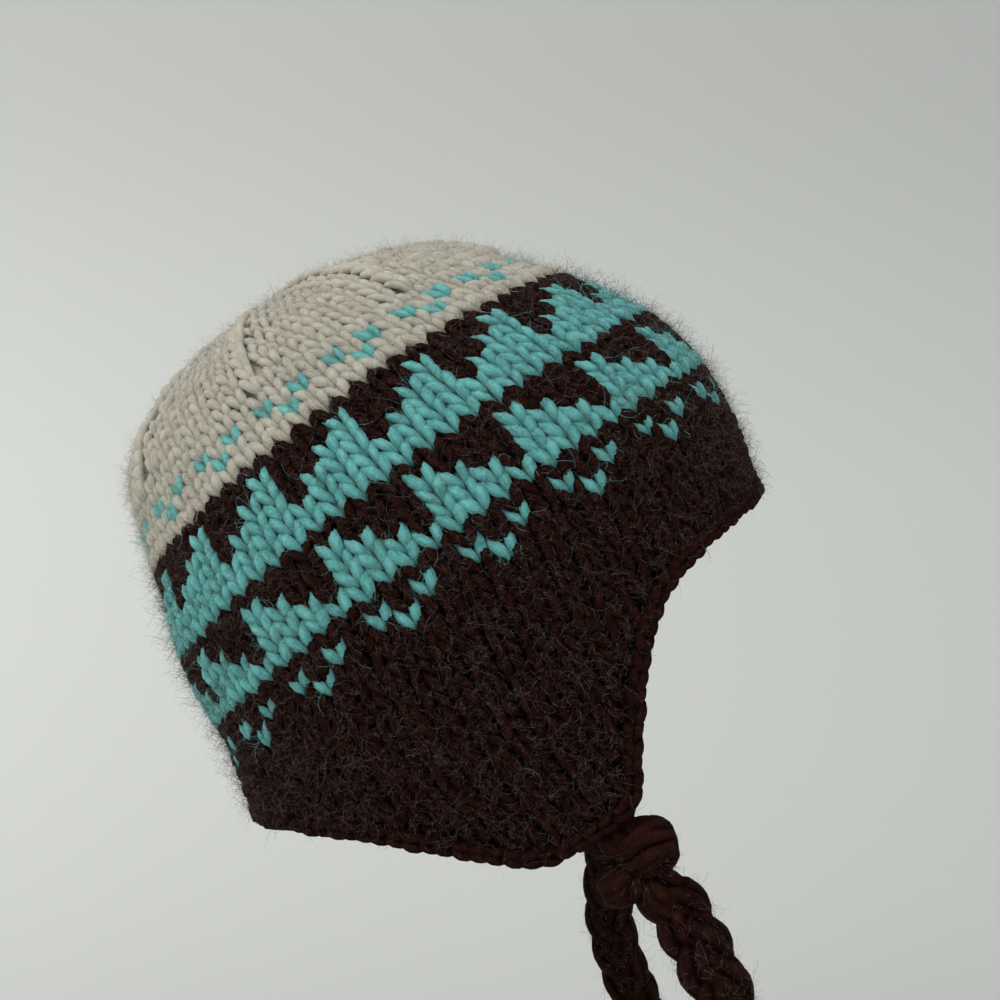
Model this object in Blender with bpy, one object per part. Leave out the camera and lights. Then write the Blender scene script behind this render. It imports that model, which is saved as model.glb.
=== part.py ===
"""A knitted chullo hat: cream crown, patterned band, brown lower part with two ear flaps,
a border round its lower edge, and from each flap's tip a knot with a braided tie.

Metres, +Z up. The wearer faces -Y, and the right ear is at -X. The origin is the point inside
the crown that rests on the top of the head. The hat's own axis leans back by TILT."""

import math

import bmesh
import bpy
import numpy as np
from mathutils import Matrix, Vector

# Fit on the head
TILT = math.radians(36.9)
APEX_BEHIND = 0.0580
APEX_BELOW = 0.0174

# Knitted shell, outside sizes
HEAD_DEPTH = 0.203
FRONT_REACH = 0.1095
BACK_REACH = 0.1005
HALF_WIDTH = 0.083
PLAN_POWER = 2.2
WALL = 0.006
GAP = 0.0003

# Depths of the edges below the apex
BAND_TOP = 0.0474
BAND_END = 0.1121
SEAM_DIP = 0.0025
BROW_DEPTH = 0.1425
NAPE_DEPTH = 0.1286
FLAP_DEPTH = 0.187

# Ear flap, as angles round the hat from the front
FLAP_CENTRE = math.radians(90)
FLAP_FRONT_SPAN = math.radians(45)
FLAP_BACK_SPAN = math.radians(70)
FLAP_LEAST = 0.0015

# Border, knots and ties
BORDER_RADIUS = 0.0024
BORDER_GAP = 0.0007
KNOT_RADIUS = 0.0115
TIE_DIAMETER = 0.018
END_KNOT_RADIUS = 0.0115
TUFT_LENGTH = 0.032
TUFT_RADIUS = 0.0085
LOCK_RADIUS = 0.0034
LOCK_LEAN = math.radians(3)
LOCK_TAPER = 0.95
TUFT_HEAD = 0.7
LOCKS = 6

# Mesh steps
RING_STEPS = 60
FLAP_STEPS = 22
ROW_STEP = 0.0125
TIE_POINTS = 25
SLOPE_STEP = 0.001
SLOPE_TURN = 0.01

# Sections from the apex down, as shares of HEAD_DEPTH, FRONT_REACH, BACK_REACH and HALF_WIDTH
SECTIONS = [
    # depth, front, back, side
    (0.0000, 0.000, 0.000, 0.000),
    (0.0105, 0.227, 0.231, 0.253),
    (0.0385, 0.393, 0.455, 0.458),
    (0.0893, 0.576, 0.632, 0.651),
    (0.1776, 0.732, 0.713, 0.795),
    (0.2760, 0.864, 0.775, 0.904),
    (0.3947, 0.971, 0.858, 0.976),
    (0.5125, 1.000, 0.887, 1.000),
    (0.6312, 0.960, 0.951, 0.988),
    (0.7489, 0.890, 0.983, 0.958),
    (0.8726, 0.881, 0.991, 0.904),
    (1.0000, 0.885, 1.000, 0.843),
]

# Flap outline: share of the span from its centre, then the share of the flap's drop that is left
FLAP_OUTLINE = [
    # span, drop towards the front, drop towards the back
    (0.00, 1.00, 1.00),
    (0.07, 1.00, 1.00),
    (0.13, 0.85, 1.00),
    (0.20, 0.70, 0.90),
    (0.33, 0.46, 0.62),
    (0.46, 0.27, 0.38),
    (0.60, 0.11, 0.22),
    (0.75, 0.045, 0.10),
    (1.00, 0.00, 0.00),
]

# Lobes of a knot as shares of its radius: place, then half-lengths, along out, front and up
KNOT_LOBES = [
    # out, front, up, half out, half front, half up
    (0.12, 0.40, 0.10, 0.82, 0.66, 0.78),
    (0.05, -0.50, -0.05, 0.74, 0.56, 0.64),
]
KNOT_TOP = 0.88
THROAT = 0.64

# Each tie's own points, chosen by hand, from the knot down
RIGHT_ROUTE = [
    (-0.0670, -0.0718, -0.1906),
    (-0.0672, -0.0743, -0.1946),
    (-0.0674, -0.0770, -0.1989),
    (-0.0676, -0.0806, -0.2054),
    (-0.0678, -0.0841, -0.2124),
    (-0.0678, -0.0876, -0.2199),
    (-0.0678, -0.0908, -0.2284),
    (-0.0677, -0.0935, -0.2379),
    (-0.0675, -0.0956, -0.2484),
    (-0.0673, -0.0970, -0.2604),
    (-0.0670, -0.0979, -0.2734),
    (-0.0668, -0.0984, -0.2874),
    (-0.0666, -0.0986, -0.3014),
    (-0.0665, -0.0986, -0.3154),
    (-0.0665, -0.0985, -0.3294),
    (-0.0665, -0.0984, -0.3434),
    (-0.0666, -0.0984, -0.3574),
    (-0.0667, -0.0984, -0.3714),
]
LEFT_ROUTE = [
    (0.0670, -0.0660, -0.1922),
    (0.0672, -0.0658, -0.1984),
    (0.0675, -0.0653, -0.2054),
    (0.0678, -0.0648, -0.2144),
    (0.0680, -0.0646, -0.2234),
    (0.0681, -0.0650, -0.2324),
    (0.0681, -0.0662, -0.2414),
    (0.0680, -0.0684, -0.2504),
    (0.0679, -0.0715, -0.2589),
    (0.0677, -0.0752, -0.2674),
    (0.0675, -0.0790, -0.2764),
    (0.0672, -0.0824, -0.2864),
    (0.0670, -0.0850, -0.2974),
    (0.0668, -0.0868, -0.3094),
    (0.0667, -0.0879, -0.3224),
    (0.0666, -0.0885, -0.3354),
    (0.0666, -0.0888, -0.3484),
    (0.0666, -0.0889, -0.3614),
    (0.0666, -0.0889, -0.3724),
]

# Colour, roughness
FINISHES = {
    "cream_wool": ((0.56, 0.51, 0.44), 0.95),
    "turquoise_wool": ((0.09, 0.47, 0.41), 0.95),
    "brown_wool": ((0.024, 0.011, 0.009), 0.95),
}

AXIS_DOWN = Vector((0, -math.sin(TILT), -math.cos(TILT)))
AXIS_FRONT = Vector((0, -math.cos(TILT), math.sin(TILT)))
AXIS_RIGHT = Vector((-1, 0, 0))
APEX = Vector((0, APEX_BEHIND, -APEX_BELOW))


def clear_scene():
    for obj in list(bpy.data.objects):
        bpy.data.objects.remove(obj)


def new_collection(name):
    collection = bpy.data.collections.new(name)
    bpy.context.scene.collection.children.link(collection)
    return collection


def make_finishes():
    for name, (colour, roughness) in FINISHES.items():
        material = bpy.data.materials.new(name)
        material.use_nodes = True
        shader = material.node_tree.nodes["Principled BSDF"]
        shader.inputs["Base Color"].default_value = (*colour, 1)
        shader.inputs["Roughness"].default_value = roughness
        shader.inputs["Metallic"].default_value = 0


def catmull_rom(before, start, end, after, share):
    """A point on the smooth curve between start and end."""
    linear = (end - before) * share
    square = (2 * before - 5 * start + 4 * end - after) * share**2
    cube = (3 * start - before - 3 * end + after) * share**3
    return start + (linear + square + cube) / 2


def section_table():
    """SECTIONS in metres, with a row mirrored through the apex and one carried on past the end."""
    sizes = np.array([HEAD_DEPTH, FRONT_REACH, BACK_REACH, HALF_WIDTH])
    rows = np.array(SECTIONS) * sizes
    through_apex = rows[1] * np.array([1, -1, -1, -1])
    carried_on = 2 * rows[-1] - rows[-2]
    return np.vstack([through_apex, rows, carried_on])


TABLE = section_table()


def section_at(depth):
    """Front reach, back reach and half width at a depth below the apex."""
    row = int(np.searchsorted(TABLE[1:-1, 0], depth, side="right"))
    row = min(max(row, 1), len(TABLE) - 3)
    low = 0.0
    high = 1.0
    for _ in range(30):
        share = (low + high) / 2
        found = catmull_rom(*TABLE[row - 1 : row + 3], share)
        if found[0] < depth:
            low = share
        else:
            high = share
    return found[1:]


def rounded(value):
    """A cosine or sine, pushed out so that the plan is a little fuller than an ellipse."""
    return math.copysign(abs(value) ** (2 / PLAN_POWER), value)


def outer_point(depth, azimuth):
    """A point of the outside, at an angle round the hat from the front over the right ear."""
    front, back, side = section_at(depth)
    along = math.cos(azimuth)
    reach = front if along > 0 else back
    across = side * rounded(math.sin(azimuth))
    return APEX + AXIS_DOWN * depth + AXIS_FRONT * (reach * rounded(along)) + AXIS_RIGHT * across


def outward(depth, azimuth):
    """The outside's normal."""
    depth = max(depth, 2 * SLOPE_STEP)
    down = outer_point(depth + SLOPE_STEP, azimuth) - outer_point(depth - SLOPE_STEP, azimuth)
    ahead = outer_point(depth, azimuth + SLOPE_TURN)
    round_ = ahead - outer_point(depth, azimuth - SLOPE_TURN)
    return round_.cross(down).normalized()


def shell_point(depth, azimuth, inward):
    if depth <= 0:
        return APEX + AXIS_DOWN * inward
    return outer_point(depth, azimuth) - outward(depth, azimuth) * inward


def dipped(depth):
    """An edge at about one depth, which dips at the front and the back of the hat."""
    return lambda azimuth: depth + SEAM_DIP * math.cos(2 * azimuth)


def rim_depth(azimuth):
    """The lower edge as it would run without the ear flaps, from the brow to the nape."""
    return NAPE_DEPTH + (BROW_DEPTH - NAPE_DEPTH) * (1 + math.cos(azimuth)) / 2


def flap_drop(azimuth):
    """How far the ear flap hangs below the rim at this angle."""
    turn = abs(math.remainder(azimuth, 2 * math.pi)) - FLAP_CENTRE
    span = FLAP_FRONT_SPAN if turn < 0 else FLAP_BACK_SPAN
    column = 1 if turn < 0 else 2
    outline = np.array(FLAP_OUTLINE)
    share = np.interp(abs(turn) / span, outline[:, 0], outline[:, column])
    return share * (FLAP_DEPTH - rim_depth(FLAP_CENTRE))


def hem_depth(azimuth):
    return rim_depth(azimuth) + flap_drop(azimuth)


def shifted(edge, distance):
    return lambda azimuth: edge(azimuth) + distance


def grid_faces(grid, around, flip):
    """Faces over a grid of vertices; around joins the last column to the first."""
    faces = []
    columns = len(grid[0])
    for upper, lower in zip(grid, grid[1:]):
        for here in range(columns if around else columns - 1):
            there = (here + 1) % columns
            face = [upper[here], upper[there], lower[there], lower[here]]
            faces.append(face[::-1] if flip else face)
    return faces


def add_solid(name, bm, collection, finish):
    bmesh.ops.remove_doubles(bm, verts=bm.verts, dist=1e-6)
    bmesh.ops.recalc_face_normals(bm, faces=bm.faces)
    mesh = bpy.data.meshes.new(name)
    bm.to_mesh(mesh)
    bm.free()
    mesh.shade_smooth()
    mesh.materials.append(bpy.data.materials[finish])
    obj = bpy.data.objects.new(name, mesh)
    collection.objects.link(obj)
    return obj


def add_shell(name, top, bottom, azimuths, rows, around, collection, finish):
    """A knitted wall between two edges, each a depth for an angle, lofted through its sections."""
    bm = bmesh.new()
    skins = []
    for inward in (0, WALL):
        skin = []
        for row in range(rows + 1):
            line = []
            for azimuth in azimuths:
                start = top(azimuth)
                share = row / rows
                if start <= 0:
                    share = share**2
                depth = start + (bottom(azimuth) - start) * share
                line.append(bm.verts.new(shell_point(depth, azimuth, inward)))
            skin.append(line)
        skins.append(skin)
    outer, inner = skins
    walls = grid_faces(outer, around, False) + grid_faces(inner, around, True)
    walls += grid_faces([outer[-1], inner[-1]], around, False)
    if top(0) > 0:
        walls += grid_faces([inner[0], outer[0]], around, False)
    if not around:
        for side, flip in ((0, False), (-1, True)):
            edges = [[line[side] for line in outer], [line[side] for line in inner]]
            walls += grid_faces(edges, False, flip)
    for corners in walls:
        bm.faces.new(corners)
    return add_solid(name, bm, collection, finish)


def ring_angles():
    return [2 * math.pi * step / RING_STEPS for step in range(RING_STEPS)]


def rows_between(top, bottom):
    return max(2, round((bottom - top) / ROW_STEP))


def make_crown(collection):
    add_shell(
        "crown",
        lambda azimuth: 0,
        shifted(dipped(BAND_TOP), -GAP / 2),
        ring_angles(),
        9,
        True,
        collection,
        "cream_wool",
    )


def make_pattern_band(collection):
    add_shell(
        "pattern_band",
        shifted(dipped(BAND_TOP), GAP / 2),
        shifted(dipped(BAND_END), -GAP / 2),
        ring_angles(),
        rows_between(BAND_TOP, BAND_END),
        True,
        collection,
        "turquoise_wool",
    )


def make_lower_band(collection):
    add_shell(
        "lower_band",
        shifted(dipped(BAND_END), GAP / 2),
        shifted(rim_depth, -GAP / 2),
        ring_angles(),
        rows_between(BAND_END, BROW_DEPTH) + 1,
        True,
        collection,
        "brown_wool",
    )


def flap_angles():
    """The angles at which the flap is at least FLAP_LEAST deep."""
    start = FLAP_CENTRE - FLAP_FRONT_SPAN
    end = FLAP_CENTRE + FLAP_BACK_SPAN
    fine = np.linspace(start, end, 400)
    deep = [azimuth for azimuth in fine if flap_drop(azimuth) > FLAP_LEAST]
    return np.linspace(deep[0], deep[-1], FLAP_STEPS + 1)


def make_ear_flap(name, side, collection):
    add_shell(
        name,
        shifted(rim_depth, GAP / 2),
        hem_depth,
        [side * azimuth for azimuth in flap_angles()],
        rows_between(NAPE_DEPTH, FLAP_DEPTH),
        False,
        collection,
        "brown_wool",
    )


def tube(name, points, radius, cyclic, collection, finish):
    curve = bpy.data.curves.new(name, "CURVE")
    curve.dimensions = "3D"
    curve.bevel_depth = radius
    curve.bevel_resolution = 2
    curve.use_fill_caps = True
    spline = curve.splines.new("POLY")
    spline.points.add(len(points) - 1)
    for point, place in zip(spline.points, points):
        point.co = (*place, 1)
    spline.use_cyclic_u = cyclic
    curve.materials.append(bpy.data.materials[finish])
    obj = bpy.data.objects.new(name, curve)
    collection.objects.link(obj)
    return obj


def below_hem(azimuth, distance):
    """A point in the middle of the wall, this far past the lower edge and square to it."""
    depth = hem_depth(azimuth)
    here = shell_point(depth, azimuth, WALL / 2)
    next_ = azimuth + SLOPE_TURN
    last = azimuth - SLOPE_TURN
    ahead = shell_point(hem_depth(next_), next_, WALL / 2)
    behind = shell_point(hem_depth(last), last, WALL / 2)
    across = (ahead - behind).cross(outward(depth, azimuth)).normalized()
    return here + across * (distance if across.dot(AXIS_DOWN) > 0 else -distance)


def make_border(collection):
    distance = BORDER_RADIUS + BORDER_GAP
    steps = 2 * RING_STEPS
    points = [below_hem(2 * math.pi * step / steps, distance) for step in range(steps)]
    tube("edge_border", points, BORDER_RADIUS, True, collection, "brown_wool")


def ellipsoid(name, centre, halves, axes, collection, finish):
    """A lobe with its half-lengths along three given directions."""
    bm = bmesh.new()
    bmesh.ops.create_uvsphere(bm, u_segments=14, v_segments=9, radius=1)
    turn = Matrix(axes).transposed().to_4x4()
    bm.transform(Matrix.Translation(centre) @ turn @ Matrix.Diagonal((*halves, 1)))
    return add_solid(name, bm, collection, finish)


def unite(body, other):
    """Fuses another solid into the body; the other one stays as a hidden guide."""
    other.hide_render = True
    other.display_type = "WIRE"
    modifier = body.modifiers.new(f"with_{other.name}", "BOOLEAN")
    modifier.operation = "UNION"
    modifier.solver = "EXACT"
    modifier.object = other


def make_knot(name, centre, radius, axes, throats, collection, guides):
    """Two crossed lobes, and a smaller one that meets each cord end given as a place and a direction."""
    out, front, up = axes
    lobes = []
    for lobe in KNOT_LOBES:
        place = centre + (out * lobe[0] + front * lobe[1] + up * lobe[2]) * radius
        lobes.append((place, [share * radius for share in lobe[3:]]))
    for place, inward in throats:
        half = THROAT * radius
        lobes.append((place + inward * (half + GAP), [half] * 3))
    body = ellipsoid(name, *lobes[0], axes, collection, "brown_wool")
    for number, lobe in enumerate(lobes[1:]):
        unite(body, ellipsoid(f"{name}_lobe_{number}", *lobe, axes, guides, "brown_wool"))


def smooth_route(points, count):
    """Points at even steps along the smooth curve through the route's own points."""
    route = np.array(points)
    ends = np.vstack([2 * route[0] - route[1], route, 2 * route[-1] - route[-2]])
    fine = [
        catmull_rom(*ends[leg : leg + 4], share)
        for leg in range(len(route) - 1)
        for share in np.linspace(0, 1, 8, endpoint=False)
    ]
    fine = np.array(fine + [route[-1]])
    run = np.concatenate([[0], np.cumsum(np.linalg.norm(np.diff(fine, axis=0), axis=1))])
    steps = np.linspace(0, run[-1], count)
    return [Vector([np.interp(step, run, fine[:, axis]) for axis in range(3)]) for step in steps]


def make_tuft(name, top, collection, guides):
    """The strands' cut ends: locks that hang from a small head, all fused."""
    axes = (Vector((1, 0, 0)), Vector((0, 1, 0)), Vector((0, 0, 1)))
    head_height = TUFT_RADIUS * TUFT_HEAD
    centre = top - axes[2] * head_height
    halves = (TUFT_RADIUS, TUFT_RADIUS, head_height)
    head = ellipsoid(name, centre, halves, axes, collection, "brown_wool")
    for number in range(LOCKS + 1):
        turn = 2 * math.pi * number / LOCKS
        core = number == LOCKS
        spread = 0 if core else TUFT_RADIUS - LOCK_RADIUS
        thick = TUFT_RADIUS - LOCK_RADIUS if core else LOCK_RADIUS
        length = TUFT_LENGTH - head_height
        bm = bmesh.new()
        bmesh.ops.create_cone(
            bm,
            cap_ends=True,
            segments=8,
            radius1=thick * LOCK_TAPER,
            radius2=thick,
            depth=length,
        )
        lean = Matrix.Rotation(0 if core else LOCK_LEAN, 4, "X")
        place = centre + Vector((math.sin(turn), -math.cos(turn), 0)) * spread
        place -= axes[2] * (length / 2)
        bm.transform(Matrix.Translation(place) @ Matrix.Rotation(turn, 4, "Z") @ lean)
        lock = add_solid(f"{name}_lock_{number}", bm, guides, "brown_wool")
        unite(head, lock)


def make_tie(side_name, side, route, collection, guides):
    """A knot under the flap's tip, the braid, the knot at its end and the cut ends below it."""
    up = Vector((0, 0, 1))
    out = AXIS_RIGHT * side
    points = smooth_route(route, TIE_POINTS)
    into_knot = (points[0] - points[1]).normalized()
    drop = BORDER_GAP + 2 * BORDER_RADIUS + GAP + KNOT_TOP * KNOT_RADIUS
    knot = below_hem(side * FLAP_CENTRE, drop)
    axes = (out, AXIS_FRONT, -AXIS_DOWN)
    throats = [(points[0], into_knot)]
    make_knot(f"flap_knot_{side_name}", knot, KNOT_RADIUS, axes, throats, collection, guides)
    tube(f"tie_braid_{side_name}", points, TIE_DIAMETER / 2, False, collection, "brown_wool")
    end = points[-1] - up * (END_KNOT_RADIUS + GAP)
    tuft_top = end - up * (END_KNOT_RADIUS + GAP)
    axes = (out, Vector((0, -1, 0)), up)
    throats = [(points[-1], -up), (tuft_top, up)]
    make_knot(f"end_knot_{side_name}", end, END_KNOT_RADIUS, axes, throats, collection, guides)
    make_tuft(f"tie_tuft_{side_name}", tuft_top, collection, guides)


def main():
    clear_scene()
    make_finishes()
    hat = new_collection("chullo_hat")
    guides = new_collection("chullo_hat_guides")
    make_crown(hat)
    make_pattern_band(hat)
    make_lower_band(hat)
    make_ear_flap("ear_flap_right", 1, hat)
    make_ear_flap("ear_flap_left", -1, hat)
    make_border(hat)
    make_tie("right", 1, RIGHT_ROUTE, hat, guides)
    make_tie("left", -1, LEFT_ROUTE, hat, guides)


main()
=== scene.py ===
"""A knitted chullo hat as it looks: every stitch of the crown, band, lower part and ear flaps,
the border, knots, braided ties and tufts, the purl side inside, and the wool's loose fibres."""

import math

import bpy
import numpy as np
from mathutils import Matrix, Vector


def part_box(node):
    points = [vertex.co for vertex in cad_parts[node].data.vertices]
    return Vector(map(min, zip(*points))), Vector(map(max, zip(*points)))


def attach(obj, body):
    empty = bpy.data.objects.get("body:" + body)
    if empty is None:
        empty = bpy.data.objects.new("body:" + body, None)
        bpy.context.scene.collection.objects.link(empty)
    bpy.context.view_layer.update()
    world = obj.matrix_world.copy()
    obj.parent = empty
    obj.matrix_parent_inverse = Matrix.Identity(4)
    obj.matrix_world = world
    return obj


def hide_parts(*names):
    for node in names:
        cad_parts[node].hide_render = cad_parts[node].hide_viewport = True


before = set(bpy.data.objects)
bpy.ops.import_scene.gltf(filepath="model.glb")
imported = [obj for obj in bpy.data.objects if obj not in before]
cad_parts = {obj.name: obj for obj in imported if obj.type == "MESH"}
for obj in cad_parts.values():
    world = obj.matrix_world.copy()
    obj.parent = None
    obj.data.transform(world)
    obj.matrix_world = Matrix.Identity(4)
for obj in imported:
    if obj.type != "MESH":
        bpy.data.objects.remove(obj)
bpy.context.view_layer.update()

# The hat's own axes and shape, as in the solids
TILT = math.radians(36.9)
APEX = np.array([0, 0.0580, -0.0174])
DOWN = np.array([0, -math.sin(TILT), -math.cos(TILT)])
FRONT = np.array([0, -math.cos(TILT), math.sin(TILT)])
RIGHT = np.array([-1.0, 0, 0])
AHEAD = np.array([0, -1.0, 0])
UP = np.array([0, 0, 1.0])
SIZES = np.array([0.203, 0.1095, 0.1005, 0.083])
SECTIONS = [
    # depth, front, back, side
    (0.0000, 0.000, 0.000, 0.000),
    (0.0105, 0.227, 0.231, 0.253),
    (0.0385, 0.393, 0.455, 0.458),
    (0.0893, 0.576, 0.632, 0.651),
    (0.1776, 0.732, 0.713, 0.795),
    (0.2760, 0.864, 0.775, 0.904),
    (0.3947, 0.971, 0.858, 0.976),
    (0.5125, 1.000, 0.887, 1.000),
    (0.6312, 0.960, 0.951, 0.988),
    (0.7489, 0.890, 0.983, 0.958),
    (0.8726, 0.881, 0.991, 0.904),
    (1.0000, 0.885, 1.000, 0.843),
]
PLAN_POWER = 2.2
BAND_TOP = 0.0474
SEAM_DIP = 0.0025
BROW_DEPTH = 0.1425
NAPE_DEPTH = 0.1286
FLAP_DEPTH = 0.187
FLAP_CENTRE = math.radians(90)
FLAP_FRONT_SPAN = math.radians(45)
FLAP_BACK_SPAN = math.radians(70)
FLAP_OUTLINE = np.array([
    # span, drop towards the front, drop towards the back
    (0.00, 1.00, 1.00),
    (0.07, 1.00, 1.00),
    (0.13, 0.85, 1.00),
    (0.20, 0.70, 0.90),
    (0.33, 0.46, 0.62),
    (0.46, 0.27, 0.38),
    (0.60, 0.11, 0.22),
    (0.75, 0.045, 0.10),
    (1.00, 0.00, 0.00),
])

# Gauge: stitches round, row height, and the rows of each part counted down from the band's top
STITCHES = 72
PHASE = 0.62
ROW = 0.00475
FIRST_ROW = -19.0
LAST_ROW = 31.0
BAND_ROWS = 14
DOT_ROWS = 12
DOT_LIFT = -0.6
DOT_WIDTH = 0.88
SECTORS = 8
SPINE = 19.93
SPINE_SWIRL = -2.2
SPINE_LIFT = 2.3
SPINE_SLOPE = 0.9
SPINE_WIDTH = 0.62
SPINE_PLUMP = 1.55
DECREASES_FROM = -4

# How the crown's sectors end, where the band is split, and how stitches keep from the hem
TOP_ROW = -19
SWIRL_ROWS = 14
SECTOR_END = 0.35
SLOPE_FROM = 3
HALF_STITCH = 0.35
BAND_SPLIT = 7
FLAP_FROM = 0.15
HEM_MARGIN = 0.6
RIM_MARGIN = 0.8

# Steps of the smooth sections and of the fine field over rows and stitches
SECTION_STEPS = 80
RING_POINTS = 1441
FIELD_STEP = 0.2
FIELD_SHARE = 8
DIP_REACH = 0.05
FINE_STITCHES = np.linspace(0, STITCHES, FIELD_SHARE * STITCHES + 1)

# Chart of the band, row by row from its top, for the four stitches of a repeat towards the front
CHART = [
    "BBBB", "BBBT", "BBTT", "BTTT", "TTTT", "TTTT", "BBBB",
    "TBBB", "TTBB", "TTTB", "TTTT", "BBBB", "TBTB", "BTBB",
]

# Ties, from the knot down
RIGHT_ROUTE = [
    (-0.0670, -0.0718, -0.1906), (-0.0672, -0.0743, -0.1946), (-0.0674, -0.0770, -0.1989),
    (-0.0676, -0.0806, -0.2054), (-0.0678, -0.0841, -0.2124), (-0.0678, -0.0876, -0.2199),
    (-0.0678, -0.0908, -0.2284), (-0.0677, -0.0935, -0.2379), (-0.0675, -0.0956, -0.2484),
    (-0.0673, -0.0970, -0.2604), (-0.0670, -0.0979, -0.2734), (-0.0668, -0.0984, -0.2874),
    (-0.0666, -0.0986, -0.3014), (-0.0665, -0.0986, -0.3154), (-0.0665, -0.0985, -0.3294),
    (-0.0665, -0.0984, -0.3434), (-0.0666, -0.0984, -0.3574), (-0.0667, -0.0984, -0.3714),
]
LEFT_ROUTE = [
    (0.0670, -0.0660, -0.1922), (0.0672, -0.0658, -0.1984), (0.0675, -0.0653, -0.2054),
    (0.0678, -0.0648, -0.2144), (0.0680, -0.0646, -0.2234), (0.0681, -0.0650, -0.2324),
    (0.0681, -0.0662, -0.2414), (0.0680, -0.0684, -0.2504), (0.0679, -0.0715, -0.2589),
    (0.0677, -0.0752, -0.2674), (0.0675, -0.0790, -0.2764), (0.0672, -0.0824, -0.2864),
    (0.0670, -0.0850, -0.2974), (0.0668, -0.0868, -0.3094), (0.0667, -0.0879, -0.3224),
    (0.0666, -0.0885, -0.3354), (0.0666, -0.0888, -0.3484), (0.0666, -0.0889, -0.3614),
    (0.0666, -0.0889, -0.3724),
]
KNOT_PLACE = np.array([-0.0670, -0.0632, -0.1794])
BRAID_PITCH = 0.037
BRAID_SWAY = 0.0044
BRAID_DEPTH = 0.0024
STRAND_RADIUS = 0.0054
LEAD = 0.006


def unit(vectors):
    """The vectors at length one."""
    return vectors / np.maximum(np.linalg.norm(vectors, axis=-1, keepdims=True), 1e-12)


def catmull_rom(before, start, end, after, share):
    """A smooth curve from start to end, bent by the points beside them."""
    linear = (end - before) * share
    square = (2 * before - 5 * start + 4 * end - after) * share**2
    cube = (3 * start - before - 3 * end + after) * share**3
    return start + (linear + square + cube) / 2


def smooth_line(points, steps):
    """Points along the smooth curve through the given ones."""
    points = np.asarray(points, float)
    ends = np.vstack([2 * points[0] - points[1], points, 2 * points[-1] - points[-2]])
    share = np.linspace(0, 1, steps, endpoint=False)[:, None]
    legs = [catmull_rom(*ends[i : i + 4], share) for i in range(len(points) - 1)]
    return np.vstack([*legs, points[-1:]])


def fine_sections():
    """The hat's sections as smooth curves: depth, and reach to the front, back and side."""
    rows = np.array(SECTIONS) * SIZES
    table = np.vstack([rows[1] * (1, -1, -1, -1), rows, 2 * rows[-1] - rows[-2]])
    share = np.linspace(0, 1, SECTION_STEPS, endpoint=False)[:, None]
    legs = [catmull_rom(*table[i : i + 4], share) for i in range(1, len(table) - 3)]
    first = catmull_rom(*table[0:4], share)
    return np.vstack([first, *legs, table[-2:-1]])


FINE = fine_sections()


def rounded(values):
    """Cosines or sines of the plan, filled out a little more than an ellipse."""
    return np.sign(values) * np.abs(values) ** (2 / PLAN_POWER)


def outer_point(depth, azimuth):
    """A point of the outside, at an angle round the hat from the front over the right ear."""
    front, back, side = (np.interp(depth, FINE[:, 0], FINE[:, c]) for c in (1, 2, 3))
    along = np.cos(azimuth)
    reach = np.where(along > 0, front, back) * rounded(along)
    across = side * rounded(np.sin(azimuth))
    parts = (depth[..., None] * DOWN, reach[..., None] * FRONT, across[..., None] * RIGHT)
    return APEX + sum(parts)


def rim_depth(azimuth):
    """How deep the plain rim lies, from the brow to the nape."""
    return NAPE_DEPTH + (BROW_DEPTH - NAPE_DEPTH) * (1 + np.cos(azimuth)) / 2


def hem_depth(azimuth):
    """How deep the whole lower edge lies, the rim with its two ear flaps."""
    turn = np.abs(np.arctan2(np.sin(azimuth), np.cos(azimuth))) - FLAP_CENTRE
    front = np.interp(-turn / FLAP_FRONT_SPAN, FLAP_OUTLINE[:, 0], FLAP_OUTLINE[:, 1])
    back = np.interp(turn / FLAP_BACK_SPAN, FLAP_OUTLINE[:, 0], FLAP_OUTLINE[:, 2])
    drop = np.where(turn < 0, front, back)
    return rim_depth(azimuth) + drop * (FLAP_DEPTH - rim_depth(FLAP_CENTRE))


def build_field():
    """The outside as a fine grid over rows and stitches, with the outward normal at each place."""
    run = np.hypot(np.diff(FINE[:, 0]), np.diff(FINE[:, 3]))
    run = np.concatenate([[0], np.cumsum(run)])
    start = np.interp(BAND_TOP, FINE[:, 0], run)
    rows = np.arange(FIRST_ROW, LAST_ROW + 0.01, FIELD_STEP)
    depths = np.interp(start + ROW * rows, run, FINE[:, 0])
    turns = np.linspace(0, 2 * np.pi, RING_POINTS)
    places = []
    azimuths = []
    girths = []
    dips = []
    for depth in depths:
        dip = SEAM_DIP * min(1, depth / DIP_REACH)
        ring = outer_point(depth + dip * np.cos(2 * turns), turns)
        arc = np.concatenate([[0], np.cumsum(np.linalg.norm(np.diff(ring, axis=0), axis=1))])
        azimuth = np.interp(FINE_STITCHES / STITCHES * arc[-1], arc, turns)
        dipped = depth + dip * np.cos(2 * azimuth)
        places.append(outer_point(dipped, azimuth))
        azimuths.append(azimuth)
        girths.append(arc[-1])
        dips.append(dipped)
    places = np.array(places)
    wrapped = np.concatenate([places[:, -2:-1], places, places[:, 1:2]], axis=1)
    aside = unit(np.gradient(wrapped, axis=1)[:, 1:-1])
    down = unit(np.gradient(places, axis=0))
    out = unit(np.cross(aside, down))
    field = np.concatenate([places, out], axis=2)
    return rows, field, np.array(girths), np.array(azimuths), np.array(dips)


ROWS, FIELD, GIRTHS, AZIMUTHS, DEPTHS = build_field()


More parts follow.
